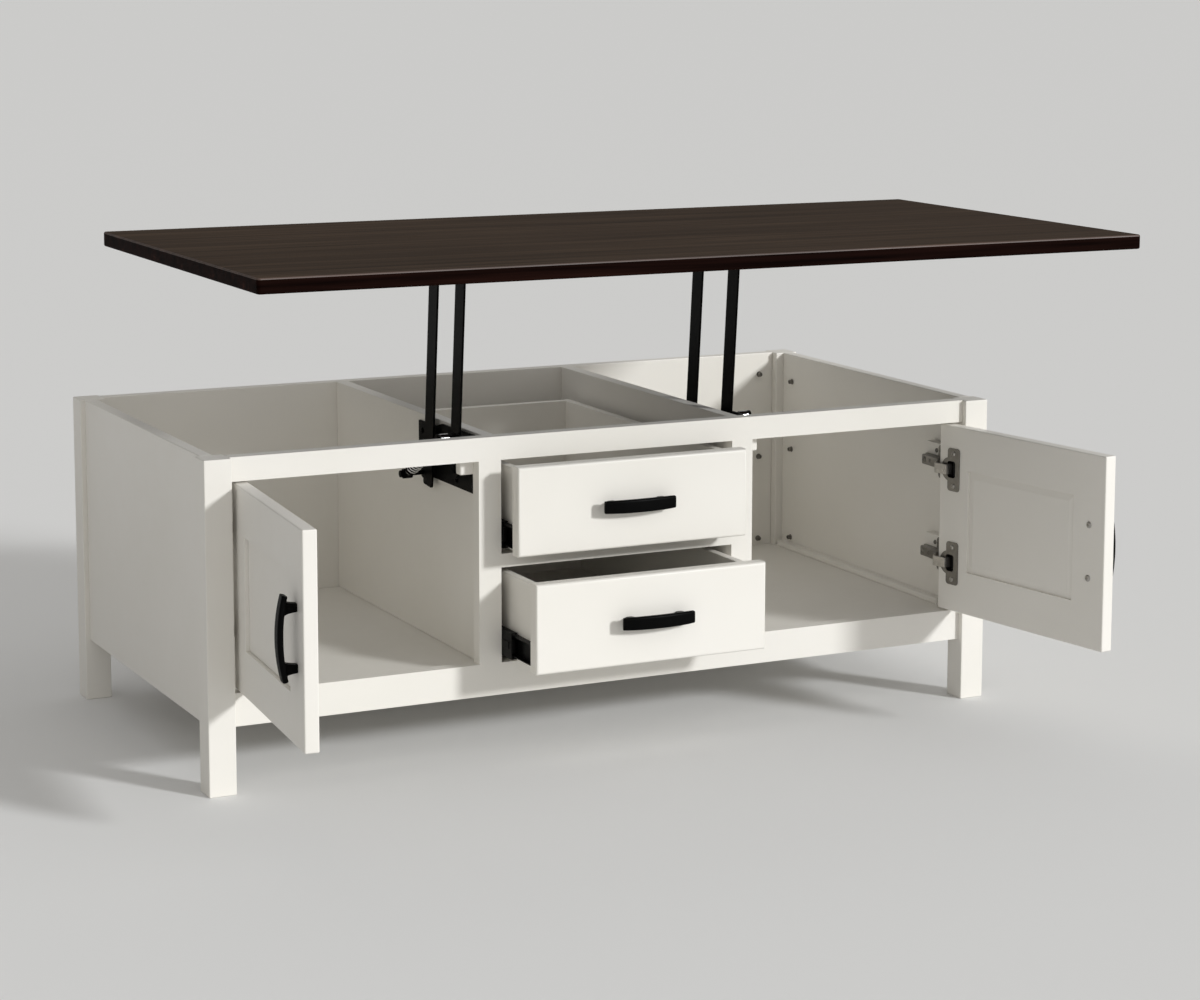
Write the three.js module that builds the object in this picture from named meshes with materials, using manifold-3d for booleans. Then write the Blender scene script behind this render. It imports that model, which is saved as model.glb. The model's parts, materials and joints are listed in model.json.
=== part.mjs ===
// Lift top coffee table: a white cabinet with two doors and two drawers under a dark top that
// swings up and forward on two pairs of parallel arms. Millimetres, +Z up, +X to the right and
// -Y to the front. Each sub-part is one named mesh. The table stands with its top raised, its
// doors open and its drawers pulled out a little, which is the pose it is stored in.
import * as THREE from "three";
import { mergeVertices } from "three/addons/utils/BufferGeometryUtils.js";
import Module from "manifold-3d";

const wasm = await Module();
wasm.setup();

// ---- driving dimensions: cabinet ----
const WIDTH = 1206; // over the legs
const DEPTH = 607; // over the legs
const HEIGHT = 450; // cabinet without its top
const LEG = 38; // square legs
const PANEL = 18; // side and back panels
const PANEL_INSET = 7; // panel face behind the leg faces
const PANEL_BOTTOM = 90; // underside of panels and bottom rail
const FRAME_INSET = 9.5; // face frame behind the front of the legs
const FRAME_T = 20; // face frame thickness
const TOP_RAIL = 32.5; // rail heights
const BOTTOM_RAIL = 45;
const DRAWER_RAIL_Z = [268, 287];
const STILE_X = [179, 212]; // inner and outer edge of each stile, from the middle
const DIVIDER_X = [180, 199];
const FLOOR_Z = [115, 130];

// ---- driving dimensions: doors ----
const DOOR_T = 19;
const DOOR_GAP = 2.5; // at both side edges and above
const DOOR_LIFT = 3; // gap under the door
const PIVOT_IN = 11; // hinge pin from the door's hinge edge
const PIVOT_BACK = 6; // hinge pin behind the door's outer face
const DOOR_MEMBER = 63; // width of the door frame's members
const DOOR_PANEL_Y = [-1, 11.5]; // panel's faces, from the hinge pins
const LEFT_DOOR_OPEN = 95; // degrees, as stored
const RIGHT_DOOR_OPEN = 98.5;

// ---- driving dimensions: hinges ----
const HINGE_Z = [210, 350];
const CUP_FROM_EDGE = 22.5; // cup's middle from the door's hinge edge
const CUP_R = 17.5;
const CUP_DEPTH = 11.5;
const CUP_WALL = 4.5;
const CUP_FLOOR = 1.5;
const FLANGE = [26, 1.5, 64];
const FLANGE_OUT = 9.5; // flange's middle from the cup's, away from the hinge edge
const PACKING_X = 564; // inner face of the block that the hinge is screwed to
const PACKING_Y = [-262, -200];
const PACKING_HALF = 26; // half heights of the block, plate and arm
const PLATE_T = 2;
const PLATE_Y = [-258, -222];
const PLATE_HALF = 22;
const HINGE_ARM_X = [549, 563];
const HINGE_ARM_Y = [-269, -206];
const HINGE_ARM_HALF = 8;

// ---- driving dimensions: drawers and slides ----
const DRAWER_FRONT = [352, 20, 124];
const BOARD = 12; // drawer box sides and ends
const DRAWER_BOTTOM_Z = [4, 10]; // drawer bottom above the box's lower edge
const BOX_HALF = 166; // half the outer width of a drawer box
const BOX_BACK = 268; // back of a closed drawer box
const BOX_HEIGHT = 115;
const SLIDE_LENGTH = 450;
const SLIDE_HEIGHT = 45;
const SLIDE_STEP = 4; // each slide member is this much less in half height than the one around it
const SLIDE_WALL = 1.4;
const DRAWERS = [
  { name: "upper", front: 290, box: 292, out: 50 },
  { name: "lower", front: 139.5, box: 142, out: 108 },
];

// ---- driving dimensions: handles ----
const HANDLE_LENGTH = 108;
const HANDLE_CENTRES = 76;
const HANDLE_WIDTH = 19;
const HANDLE_OUT = 26; // bow's crown from the face it is screwed to
const HANDLE_BOW = 8; // thickness of the bow
const HANDLE_RISE = 7; // how far the bow's crown stands out past its ends
const HANDLE_POST = 12;
const HANDLE_FROM_EDGE = 31; // door handle's middle from the door's free edge

// ---- driving dimensions: lifting mechanism ----
const ARM = 283; // between an arm's pivots
const ARM_W = 30;
const ARM_LEAN = 5.2; // degrees the raised arms lean to the front
const TAIL = 42; // rear arm below its lower pivot
const TAIL_CORNER = 4;
const STUD_AT = [17, -26.5]; // strut stud from the rear arm's pivot, across and along the arm
const STUD_LUG_R = 8; // rounded lug of the arm around the stud
const BASE_PIVOT_Z = 395;
const REAR_PIVOT_Y = -110;
const FRONT_PIVOT_Y = -211;
const PIVOT_BELOW_TOP = 24.7; // upper pivots under the tabletop
const CLOSED_GAP = 1; // lowered tabletop above the cabinet
const BASE_X = [199, 202]; // layers of the mechanism from the middle outwards
const REAR_ARM_X = [207, 210];
const FRONT_ARM_X = [210.5, 213.5];
const BRACKET_X = [217.5, 220.5];
const STRUT_X = 234;
const PIN_R = 4;
const BORE_R = 4.5;
const HEAD_R = 7;
const HEAD_T = 1.2;
const HEAD_GAP = 0.4; // between an arm and its bolt's shoulder or head
const STUD_R = 3.5;
const BASE_OUTLINE = [
  [-263, 365],
  [-105, 365],
  [-57, 408],
  [-57, 440],
  [-120, 440],
  [-140, 446],
  [-252, 447],
  [-263, 440],
];
const LUG_HALF = 14; // top bracket around a pivot: half width, then the point under the pin
const LUG_POINT = [7, 10];
const LUG_SHOULDER = 4;
const BRACKET_END = [26, 8]; // how far the cheek runs past a pivot, and its lower edge there
const BRACKET_FLANGE_T = 3;

// ---- driving dimensions: spring struts ----
const ANCHOR = [-224, 440]; // strut's upper end
const EYE_R = 7;
const EYE_HALF = 6.5;
const EYE_SIDE = 8; // from the strut's middle to what stands beside an eye
const BOSS_R = 5; // rivet boss on the lower eye's outer side
const BOSS_REACH = 11;
const ROD_R = 3;
const ROD_END = 88; // how far the rod reaches from the anchor
const TUBE_R = 5.8;
const TUBE_START = 60;
const TUBE_BORE_R = 3.6;
const TUBE_BORE_END = 134;
const COLLAR_R = 8.5;
const COLLAR_T = 3;
const ROD_COLLAR = 9; // from the anchor
const TUBE_COLLAR = 20; // from the stud
const EAR_T = 3;

// ---- driving dimensions: tabletop ----
const TOP = [1276, 632, 20];
const TOP_CORNER = 5;
const TOP_EASE = 2;

const FIT = 0.3; // gap between pieces that touch inside a turned group
const PIN_SEGMENTS = 20;

// ---- derived places ----
const FRONT = -DEPTH / 2;
const FRAME_FRONT = FRONT + FRAME_INSET;
const FRAME_BACK = FRAME_FRONT + FRAME_T;
const LEG_INNER_X = WIDTH / 2 - LEG;
const LEG_INNER_Y = DEPTH / 2 - LEG;
const PANEL_INNER_X = WIDTH / 2 - PANEL_INSET - PANEL;
const PANEL_INNER_Y = DEPTH / 2 - PANEL_INSET - PANEL;
const RAIL_BOTTOM = HEIGHT - TOP_RAIL;
const OPENING_BOTTOM = PANEL_BOTTOM + BOTTOM_RAIL;
const LEAN = THREE.MathUtils.degToRad(ARM_LEAN);
const CLOSED_TILT = Math.asin((HEIGHT + CLOSED_GAP - PIVOT_BELOW_TOP - BASE_PIVOT_Z) / ARM);

// ---- materials ----
const paint = (color, roughness, metalness = 0) =>
  new THREE.MeshStandardMaterial({ color, roughness, metalness });
const WHITE = paint(0xe9e5dd, 0.45);
const WOOD = paint(0x2c211b, 0.35);
const BLACK = paint(0x151515, 0.5, 0.3);
const STEEL = paint(0x8f8a82, 0.35, 0.9);
const CHROME = paint(0xd0d0d0, 0.15, 1);

// ---- mesh helpers ----
function place(group, name, geometry, material) {
  const mesh = new THREE.Mesh(geometry, material);
  mesh.name = name;
  group.add(mesh);
  return mesh;
}

// A box between two corners.
function block(low, high) {
  const size = high.map((h, i) => Math.abs(h - low[i]));
  const middle = high.map((h, i) => (h + low[i]) / 2);
  return new THREE.BoxGeometry(...size).translate(...middle);
}

// Two distances from the middle plane, as a low and a high x on the given side.
const spanX = (side, [inner, outer]) =>
  side > 0 ? [inner, outer] : [-outer, -inner];

// A box that mirrors with its side: x is measured from the middle plane outwards.
function sideBlock(side, x, y, z) {
  const [x0, x1] = spanX(side, x);
  return block([x0, y[0], z[0]], [x1, y[1], z[1]]);
}

function outline(points) {
  return new THREE.Shape(points.map(([a, b]) => new THREE.Vector2(a, b)));
}

function extrude(shape, depth, curveSegments = 8) {
  return new THREE.ExtrudeGeometry(shape, { depth, curveSegments, bevelEnabled: false });
}

// A (y, z) outline made into a plate between two x values.
function plateX(shape, [x0, x1]) {
  const turn = new THREE.Matrix4().makeBasis(
    new THREE.Vector3(0, 1, 0),
    new THREE.Vector3(0, 0, 1),
    new THREE.Vector3(1, 0, 0),
  );
  return extrude(shape, x1 - x0).applyMatrix4(turn).translate(x0, 0, 0);
}

// An (x, z) outline made into a bar between two y values.
function barY(shape, [y0, y1]) {
  const turn = new THREE.Matrix4().makeBasis(
    new THREE.Vector3(1, 0, 0),
    new THREE.Vector3(0, 0, 1),
    new THREE.Vector3(0, -1, 0),
  );
  return extrude(shape, y1 - y0).applyMatrix4(turn).translate(0, y1, 0);
}

// A round bar along X, around the point (y, z).
function pinX(radius, [x0, x1], y, z) {
  return new THREE.CylinderGeometry(radius, radius, x1 - x0, PIN_SEGMENTS)
    .rotateZ(Math.PI / 2)
    .translate((x0 + x1) / 2, y, z);
}

// A round bar along Y, around the point (x, z).
function rodY(radius, [y0, y1], x, z) {
  return new THREE.CylinderGeometry(radius, radius, y1 - y0, PIN_SEGMENTS)
    .translate(0, (y0 + y1) / 2, 0)
    .translate(x, 0, z);
}

// A rectangle outline with rounded corners, centred on (cx, cy).
function roundedRect(shape, cx, cy, width, height, radius) {
  const [x0, x1, y0, y1] = [cx - width / 2, cx + width / 2, cy - height / 2, cy + height / 2];
  shape.moveTo(x0 + radius, y0);
  shape.lineTo(x1 - radius, y0);
  shape.absarc(x1 - radius, y0 + radius, radius, -Math.PI / 2, 0);
  shape.lineTo(x1, y1 - radius);
  shape.absarc(x1 - radius, y1 - radius, radius, 0, Math.PI / 2);
  shape.lineTo(x0 + radius, y1);
  shape.absarc(x0 + radius, y1 - radius, radius, Math.PI / 2, Math.PI);
  shape.lineTo(x0, y0 + radius);
  shape.absarc(x0 + radius, y0 + radius, radius, Math.PI, 1.5 * Math.PI);
  return shape;
}

// ---- joins and cuts ----
function toSolid(geometry) {
  const bare = new THREE.BufferGeometry();
  const source = geometry.index ? geometry.toNonIndexed() : geometry;
  bare.setAttribute("position", source.getAttribute("position"));
  const merged = mergeVertices(bare, 1e-3);
  return new wasm.Manifold(
    new wasm.Mesh({
      numProp: 3,
      vertProperties: merged.attributes.position.array,
      triVerts: new Uint32Array(merged.index.array),
    }),
  );
}

function toGeometry(solid) {
  const mesh = solid.getMesh();
  const geometry = new THREE.BufferGeometry();
  geometry.setAttribute("position", new THREE.BufferAttribute(mesh.vertProperties, 3));
  geometry.setIndex(new THREE.BufferAttribute(mesh.triVerts, 1));
  const flat = geometry.toNonIndexed();
  flat.computeVertexNormals();
  return flat;
}

function join(...pieces) {
  return toGeometry(pieces.map(toSolid).reduce((sum, next) => sum.add(next)));
}

function cut(body, ...tools) {
  return toGeometry(tools.map(toSolid).reduce((rest, tool) => rest.subtract(tool), toSolid(body)));
}

// ---- cabinet ----
function addLegs(cabinet) {
  for (const [sideName, side] of [["left", -1], ["right", 1]]) {
    for (const [endName, end] of [["front", -1], ["back", 1]]) {
      const y = end < 0 ? [FRONT, -LEG_INNER_Y] : [LEG_INNER_Y, -FRONT];
      const leg = sideBlock(side, [LEG_INNER_X, WIDTH / 2], y, [0, HEIGHT]);
      place(cabinet, `leg_${endName}_${sideName}`, leg, WHITE);
    }
  }
}

function addPanels(cabinet) {
  for (const [sideName, side] of [["left", -1], ["right", 1]]) {
    const panel = sideBlock(
      side,
      [PANEL_INNER_X, PANEL_INNER_X + PANEL],
      [-LEG_INNER_Y, LEG_INNER_Y],
      [PANEL_BOTTOM, HEIGHT],
    );
    place(cabinet, `side_panel_${sideName}`, panel, WHITE);
    const divider = sideBlock(side, DIVIDER_X, [FRAME_BACK, PANEL_INNER_Y], [FLOOR_Z[1], HEIGHT]);
    place(cabinet, `divider_${sideName}`, divider, WHITE);
  }
  const back = block(
    [-LEG_INNER_X, PANEL_INNER_Y, PANEL_BOTTOM],
    [LEG_INNER_X, PANEL_INNER_Y + PANEL, HEIGHT],
  );
  place(cabinet, "back_panel", back, WHITE);
}

// The cabinet floor is notched round all four legs.
function addFloor(cabinet) {
  const shape = outline([
    [PANEL_INNER_X, -LEG_INNER_Y],
    [PANEL_INNER_X, LEG_INNER_Y],
    [LEG_INNER_X, LEG_INNER_Y],
    [LEG_INNER_X, PANEL_INNER_Y],
    [-LEG_INNER_X, PANEL_INNER_Y],
    [-LEG_INNER_X, LEG_INNER_Y],
    [-PANEL_INNER_X, LEG_INNER_Y],
    [-PANEL_INNER_X, -LEG_INNER_Y],
    [-LEG_INNER_X, -LEG_INNER_Y],
    [-LEG_INNER_X, FRAME_BACK],
    [LEG_INNER_X, FRAME_BACK],
    [LEG_INNER_X, -LEG_INNER_Y],
  ]);
  const floor = extrude(shape, FLOOR_Z[1] - FLOOR_Z[0]).translate(0, 0, FLOOR_Z[0]);
  place(cabinet, "floor_panel", floor, WHITE);
}

function addFaceFrame(cabinet) {
  const rail = (name, halfWidth, z) =>
    place(
      cabinet,
      name,
      block([-halfWidth, FRAME_FRONT, z[0]], [halfWidth, FRAME_BACK, z[1]]),
      WHITE,
    );
  rail("top_rail", LEG_INNER_X, [RAIL_BOTTOM, HEIGHT]);
  rail("bottom_rail", LEG_INNER_X, [PANEL_BOTTOM, OPENING_BOTTOM]);
  rail("drawer_rail", STILE_X[0], DRAWER_RAIL_Z);
  for (const [sideName, side] of [["left", -1], ["right", 1]]) {
    const stile = sideBlock(
      side,
      STILE_X,
      [FRAME_FRONT, FRAME_BACK],
      [OPENING_BOTTOM, RAIL_BOTTOM],
    );
    place(cabinet, `stile_${sideName}`, stile, WHITE);
  }
}

// ---- handle: a bow on two posts, standing out along +v from the face v = 0, u along its length
function handleShape() {
  const half = HANDLE_LENGTH / 2;
  const end = HANDLE_OUT - HANDLE_RISE;
  const post = HANDLE_CENTRES / 2;
  const shape = new THREE.Shape();
  shape.moveTo(post - HANDLE_POST / 2, 0);
  shape.lineTo(post + HANDLE_POST / 2, 0);
  shape.lineTo(post + HANDLE_POST / 2, end - HANDLE_BOW);
  shape.lineTo(half, end - HANDLE_BOW + 1);
  shape.lineTo(half, end);
  shape.quadraticCurveTo(0, HANDLE_OUT + HANDLE_RISE, -half, end);
  shape.lineTo(-half, end - HANDLE_BOW + 1);
  shape.lineTo(-post - HANDLE_POST / 2, end - HANDLE_BOW);
  shape.lineTo(-post - HANDLE_POST / 2, 0);
  shape.lineTo(-post + HANDLE_POST / 2, 0);
  shape.lineTo(-post + HANDLE_POST / 2, end - HANDLE_BOW + 1);
  shape.quadraticCurveTo(0, HANDLE_OUT - HANDLE_BOW + 1, post - HANDLE_POST / 2, end - HANDLE_BOW + 1);
  return shape;
}

// Length along Z, standing out along -Y from the face at y = 0.
function standingHandle() {
  const turn = new THREE.Matrix4().makeBasis(
    new THREE.Vector3(0, 0, 1),
    new THREE.Vector3(0, -1, 0),
    new THREE.Vector3(1, 0, 0),
  );
  return extrude(handleShape(), HANDLE_WIDTH)
    .translate(0, 0, -HANDLE_WIDTH / 2)
    .applyMatrix4(turn);
}

// Length along X, standing out along -Y from the face at y = 0.
function lyingHandle() {
  return standingHandle().rotateY(Math.PI / 2);
}

// ---- doors: each group turns about its hinge pins ----
function addDoor(root, sideName, side, openDegrees) {
  const door = new THREE.Group();
  const pivotX = side * (LEG_INNER_X - DOOR_GAP - PIVOT_IN);
  const pivotY = FRAME_FRONT + PIVOT_BACK;
  const width = LEG_INNER_X - STILE_X[1] - 2 * DOOR_GAP;
  const z = [OPENING_BOTTOM + DOOR_LIFT, RAIL_BOTTOM - DOOR_GAP];
  const height = z[1] - z[0];
  const middleX = -side * (width / 2 - PIVOT_IN);
  const inner = DOOR_T - PIVOT_BACK; // inner face behind the pins
  door.position.set(pivotX, pivotY, 0);
  door.rotation.z = side * THREE.MathUtils.degToRad(openDegrees);
  root.add(door);

  const shape = new THREE.Shape();
  const hole = new THREE.Path();
  const middleZ = (z[0] + z[1]) / 2;
  roundedRect(shape, middleX, middleZ, width, height, 1);
  const openWidth = width - 2 * DOOR_MEMBER;
  const openHeight = height - 2 * DOOR_MEMBER;
  roundedRect(hole, middleX, middleZ, openWidth, openHeight, 1);
  shape.holes.push(hole);
  const cupX = side * (PIVOT_IN - CUP_FROM_EDGE);
  const bores = HINGE_Z.map((hingeZ) =>
    rodY(CUP_R + FIT, [inner - CUP_DEPTH - FIT, inner + 1], cupX, hingeZ),
  );
  const frame = cut(barY(shape, [-PIVOT_BACK, inner]), ...bores);
  place(door, `door_frame_${sideName}`, frame, WHITE);

  const panel = block(
    [middleX - openWidth / 2 + FIT, DOOR_PANEL_Y[0], middleZ - openHeight / 2 + FIT],
    [middleX + openWidth / 2 - FIT, DOOR_PANEL_Y[1], middleZ + openHeight / 2 - FIT],
  );
  place(door, `door_panel_${sideName}`, panel, WHITE);

  const handleX = -side * (width - PIVOT_IN - HANDLE_FROM_EDGE);
  const handle = standingHandle().translate(handleX, -PIVOT_BACK - FIT, middleZ);
  place(door, `door_handle_${sideName}`, handle, BLACK);

  HINGE_Z.forEach((hingeZ, i) => {
    const level = ["lower", "upper"][i];
    place(door, `hinge_cup_${sideName}_${level}`, hingeCup(side, cupX, inner, hingeZ), STEEL);
  });
}

// A hinge cup: an open pressed cup let into the door, under a screwed flange.
function hingeCup(side, x, innerFace, z) {
  const [width, thick, height] = FLANGE;
  const flangeX = x - side * FLANGE_OUT;
  const top = innerFace + FIT + thick;
  const flange = block(
    [flangeX - width / 2, innerFace + FIT, z - height / 2],
    [flangeX + width / 2, top, z + height / 2],
  );
  const cup = rodY(CUP_R, [innerFace - CUP_DEPTH, innerFace + thick], x, z);
  const mouth = rodY(CUP_R - CUP_WALL, [innerFace - CUP_DEPTH + CUP_FLOOR, top + 1], x, z);
  return cut(join(flange, cup), mouth);
}

// A hinge mount: a packing block on the side panel, the mounting plate, and the hinge arm.
function addHingeMounts(cabinet) {
  const level = (z, half) => [z - half, z + half];
  for (const [sideName, side] of [["left", -1], ["right", 1]]) {
    HINGE_Z.forEach((z, i) => {
      const plateSpan = [PACKING_X - PLATE_T, PACKING_X + FIT];
      const packing = sideBlock(side, [PACKING_X, PANEL_INNER_X], PACKING_Y, level(z, PACKING_HALF));
      const plate = sideBlock(side, plateSpan, PLATE_Y, level(z, PLATE_HALF));
      const arm = sideBlock(side, HINGE_ARM_X, HINGE_ARM_Y, level(z, HINGE_ARM_HALF));
      const name = `hinge_mount_${sideName}_${["lower", "upper"][i]}`;
      place(cabinet, name, join(packing, plate, arm), STEEL);
    });
  }
}

// ---- drawers ----
// A slide member: a shallow C whose web stands on webX and whose lips point to openX.
function slideMember(webX, openX, halfHeight, z, y) {
  const inward = Math.sign(openX - webX) * SLIDE_WALL;
  const shape = outline(
    [
      [webX, -halfHeight],
      [openX, -halfHeight],
      [openX, -halfHeight + SLIDE_WALL],
      [webX + inward, -halfHeight + SLIDE_WALL],
      [webX + inward, halfHeight - SLIDE_WALL],
      [openX, halfHeight - SLIDE_WALL],
      [openX, halfHeight],
      [webX, halfHeight],
    ].map(([px, pz]) => [px, pz + z]),
  );
  return barY(shape, y);
}

// Outer members on the dividers, middle members half way, inner members on the drawer boxes.
function addSlides(cabinet, middles, drawer, level) {
  const z = level.box - 1 + SLIDE_HEIGHT / 2;
  const half = SLIDE_HEIGHT / 2;
  const start = FRAME_BACK + 3;
  const along = (offset) => [start + offset, start + offset + SLIDE_LENGTH];
  for (const [sideName, side] of [["left", -1], ["right", 1]]) {
    const name = `${level.name}_${sideName}`;
    const outer = slideMember(side * DIVIDER_X[0], side * 171, half, z, along(1));
    place(cabinet, `slide_outer_${name}`, outer, BLACK);
    const middle = slideMember(side * 177.9, side * 169.5, half - SLIDE_STEP, z, along(0.5));
    place(middles, `slide_middle_${name}`, middle, BLACK);
    const inner = slideMember(side * BOX_HALF, side * 175.5, half - 2 * SLIDE_STEP, z, along(0));
    place(drawer, `slide_inner_${name}`, inner, BLACK);
  }
}

function addDrawer(root, level) {
  const drawer = new THREE.Group();
  const middles = new THREE.Group();
  drawer.position.y = -level.out;
  middles.position.y = -level.out / 2;
  root.add(drawer, middles);

  const [width, thick, height] = DRAWER_FRONT;
  const front = block(
    [-width / 2, FRAME_FRONT, level.front],
    [width / 2, FRAME_FRONT + thick, level.front + height],
  );
  place(drawer, `drawer_front_${level.name}`, front, WHITE);

  const shell = block(
    [-BOX_HALF, FRAME_BACK, level.box],
    [BOX_HALF, BOX_BACK, level.box + BOX_HEIGHT],
  );
  const inside = block(
    [BOARD - BOX_HALF, FRAME_BACK + BOARD, level.box + DRAWER_BOTTOM_Z[1]],
    [BOX_HALF - BOARD, BOX_BACK - BOARD, level.box + BOX_HEIGHT + 1],
  );
  const recess = block(
    [BOARD - BOX_HALF, FRAME_BACK + BOARD, level.box - 1],
    [BOX_HALF - BOARD, BOX_BACK - BOARD, level.box + DRAWER_BOTTOM_Z[0]],
  );
  place(drawer, `drawer_box_${level.name}`, cut(shell, inside, recess), WHITE);

  const handle = lyingHandle().translate(0, FRAME_FRONT - FIT, level.front + height / 2);
  place(drawer, `drawer_handle_${level.name}`, handle, BLACK);
  addSlides(root, middles, drawer, level);
}

// ---- lifting mechanism ----
// A flat arm along +Z from its lower pivot, with a hole at each pivot and a tail below.
function armPlate(side, layer, tail) {
  const half = ARM_W / 2;
  const shape = new THREE.Shape();
  shape.moveTo(half, 0);
  shape.lineTo(half, ARM);
  shape.absarc(0, ARM, half, 0, Math.PI);
  if (tail > half) {
    const inside = half - TAIL_CORNER;
    const above = TAIL_CORNER - tail;
    shape.lineTo(-half, above);
    shape.absarc(-inside, above, TAIL_CORNER, Math.PI, 1.5 * Math.PI);
    shape.lineTo(inside, -tail);
    shape.absarc(inside, above, TAIL_CORNER, -Math.PI / 2, 0);
  } else {
    shape.lineTo(-half, 0);
    shape.absarc(0, 0, half, Math.PI, 2 * Math.PI);
  }
  for (const z of [0, ARM]) {
    const hole = new THREE.Path();
    hole.absarc(0, z, BORE_R, 0, 2 * Math.PI, true);
    shape.holes.push(hole);
  }
  return plateX(shape, spanX(side, layer));
}

function addArms(root) {
  const rear = new THREE.Group();
  const front = new THREE.Group();
  rear.position.set(0, REAR_PIVOT_Y, BASE_PIVOT_Z);
  front.position.set(0, FRONT_PIVOT_Y, BASE_PIVOT_Z);
  rear.rotation.x = LEAN;
  front.rotation.x = LEAN;
  root.add(rear, front);
  for (const [sideName, side] of [["left", -1], ["right", 1]]) {
    const studX = spanX(side, [REAR_ARM_X[1] - 1, STRUT_X - EYE_SIDE - 1]);
    const rearArm = join(
      armPlate(side, REAR_ARM_X, TAIL),
      pinX(STUD_LUG_R, spanX(side, REAR_ARM_X), ...STUD_AT),
      pinX(STUD_R, studX, ...STUD_AT),
    );
    place(rear, `rear_arm_${sideName}`, rearArm, BLACK);
    place(front, `front_arm_${sideName}`, armPlate(side, FRONT_ARM_X, 0), BLACK);
  }
}

// A shoulder bolt from the plate it is fixed in, through an arm: shoulder, pin and head.
// A flush one ends at the arm's far face, where the other arm passes.
function pivotBolt(side, fixedX, armX, y, z, flush = false) {
  const outward = Math.sign(armX[0] + armX[1] - 2 * fixedX);
  const near = outward > 0 ? armX[0] : armX[1];
  const far = outward > 0 ? armX[1] : armX[0];
  const between = (a, b) => spanX(side, [Math.min(a, b), Math.max(a, b)]);
  const shoulder = pinX(HEAD_R, between(fixedX, near - HEAD_GAP * outward), y, z);
  if (flush) return [shoulder, pinX(PIN_R, between(fixedX, far), y, z)];
  const under = far + HEAD_GAP * outward;
  return [
    shoulder,
    pinX(PIN_R, between(fixedX, under + 0.5 * HEAD_T * outward), y, z),
    pinX(HEAD_R, between(under, under + HEAD_T * outward), y, z),
  ];
}

// The plate screwed to a divider, with both lower pivot bolts and an outer ear for the strut.
function addLiftBases(cabinet) {
  const [anchorY, anchorZ] = ANCHOR;
  const earY = [anchorY - 28, anchorY + 8];
  const earZ = [anchorZ - 14, anchorZ + 7];
  const bolted = BASE_X[1] - 0.5;
  for (const [sideName, side] of [["left", -1], ["right", 1]]) {
    const base = join(
      plateX(outline(BASE_OUTLINE), spanX(side, BASE_X)),
      ...pivotBolt(side, bolted, REAR_ARM_X, REAR_PIVOT_Y, BASE_PIVOT_Z, true),
      ...pivotBolt(side, bolted, FRONT_ARM_X, FRONT_PIVOT_Y, BASE_PIVOT_Z),
      sideBlock(side, [BASE_X[0], BRACKET_X[1]], [earY[0], earY[0] + EAR_T], earZ),
      sideBlock(side, BRACKET_X, earY, earZ),
      pinX(PIN_R, spanX(side, [BRACKET_X[1] - 1, STRUT_X + EYE_SIDE + 1]), anchorY, anchorZ),
      pinX(HEAD_R, spanX(side, [STRUT_X + EYE_SIDE, STRUT_X + BOSS_REACH]), anchorY, anchorZ),
    );
    place(cabinet, `lift_base_${sideName}`, base, BLACK);
  }
}

// The strut's two ends: a rod held at the anchor, and a tube held at the rear arm's stud.
// Both lie along local +Y from the anchor.
function addStruts(root) {
  const [anchorY, anchorZ] = ANCHOR;
  const studY = REAR_PIVOT_Y + STUD_AT[0] * Math.cos(LEAN) - STUD_AT[1] * Math.sin(LEAN);
  const studZ = BASE_PIVOT_Z + STUD_AT[0] * Math.sin(LEAN) + STUD_AT[1] * Math.cos(LEAN);
  const length = Math.hypot(studY - anchorY, studZ - anchorZ);
  const strut = new THREE.Group();
  strut.position.set(0, anchorY, anchorZ);
  strut.rotation.x = Math.atan2(studZ - anchorZ, studY - anchorY);
  root.add(strut);
  for (const [sideName, side] of [["left", -1], ["right", 1]]) {
    const x = side * STRUT_X;
    const eyeX = spanX(side, [STRUT_X - EYE_HALF, STRUT_X + EYE_HALF]);
    const boreX = spanX(side, [STRUT_X - EYE_SIDE, STRUT_X + EYE_SIDE]);
    const bossX = spanX(side, [STRUT_X, STRUT_X + BOSS_REACH]);
    const collar = (start) => rodY(COLLAR_R, [start, start + COLLAR_T], x, 0);
    const rod = join(
      pinX(EYE_R, eyeX, 0, 0),
      rodY(ROD_R, [EYE_R - COLLAR_T, ROD_END], x, 0),
      collar(ROD_COLLAR),
    );
    place(strut, `strut_rod_${sideName}`, cut(rod, pinX(BORE_R, boreX, 0, 0)), CHROME);
    const tube = join(
      pinX(EYE_R, eyeX, length, 0),
      pinX(BOSS_R, bossX, length, 0),
      rodY(TUBE_R, [TUBE_START, length - EYE_R + COLLAR_T], x, 0),
      collar(length - TUBE_COLLAR),
    );
    const bore = rodY(TUBE_BORE_R, [TUBE_START - 1, TUBE_BORE_END], x, 0);
    place(strut, `strut_tube_${sideName}`, cut(tube, bore), BLACK);
  }
}

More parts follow.
